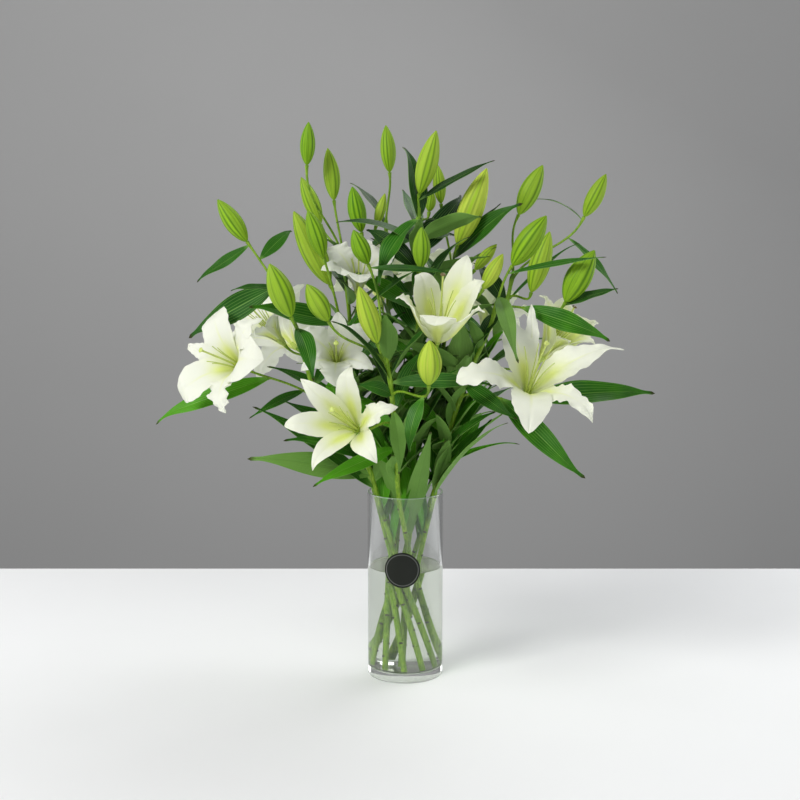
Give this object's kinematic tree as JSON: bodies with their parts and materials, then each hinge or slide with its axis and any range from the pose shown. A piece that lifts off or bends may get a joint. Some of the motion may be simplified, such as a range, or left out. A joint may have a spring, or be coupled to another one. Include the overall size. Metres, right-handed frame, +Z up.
{
  "type": "cut lilies in a vase",
  "caption": "Tall arrangement of open white lilies and closed green buds on leafy stems, standing in water in a straight clear glass cylinder vase with a plain round dark label.",
  "frame": {"origin": "centre of the vase's underside, on the table", "axes": "+Z up along the vase's axis; -Y towards the front, the side of the label; +X to the right as seen from the front"},
  "size_m": [0.6473, 0.4525, 0.7311],
  "materials": {
    "vase_glass": "clear, fire-polished",
    "water": "clear, very faint green",
    "label": "matte coated paper sticker, plain",
    "stem_green": "living leaf and stem, satin",
    "petal_white": "living petal, soft matte, faintly translucent",
    "pistil_lime": "living flower part, satin"
  },
  "bodies": {
    "root": {"vase": "vase_glass", "water": "water", "label": "label", "stem_left_front": "stem_green", "stem_front_centre": "stem_green", "stem_left_mid": "stem_green", "stem_left_back": "stem_green", "stem_centre_back": "stem_green", "stem_centre": "stem_green", "stem_right_mid": "stem_green", "stem_right_front": "stem_green", "stem_right_back": "stem_green", "bloom_left_front_1": "petal_white", "bloom_front_centre_1": "petal_white", "bloom_left_mid_1": "petal_white", "bloom_left_mid_2": "petal_white", "bloom_left_back_1": "petal_white", "bloom_left_back_2": "petal_white", "bloom_centre_back_1": "petal_white", "bloom_centre_1": "petal_white", "bloom_right_mid_1": "petal_white", "bloom_right_mid_2": "petal_white", "bloom_right_front_1": "petal_white", "bloom_right_back_1": "petal_white", "pistil_left_front_1": "pistil_lime", "pistil_front_centre_1": "pistil_lime", "pistil_left_mid_1": "pistil_lime", "pistil_left_mid_2": "pistil_lime", "pistil_left_back_1": "pistil_lime", "pistil_left_back_2": "pistil_lime", "pistil_centre_back_1": "pistil_lime", "pistil_centre_1": "pistil_lime", "pistil_right_mid_1": "pistil_lime", "pistil_right_mid_2": "pistil_lime", "pistil_right_front_1": "pistil_lime", "pistil_right_back_1": "pistil_lime"}
  },
  "joints": []
}
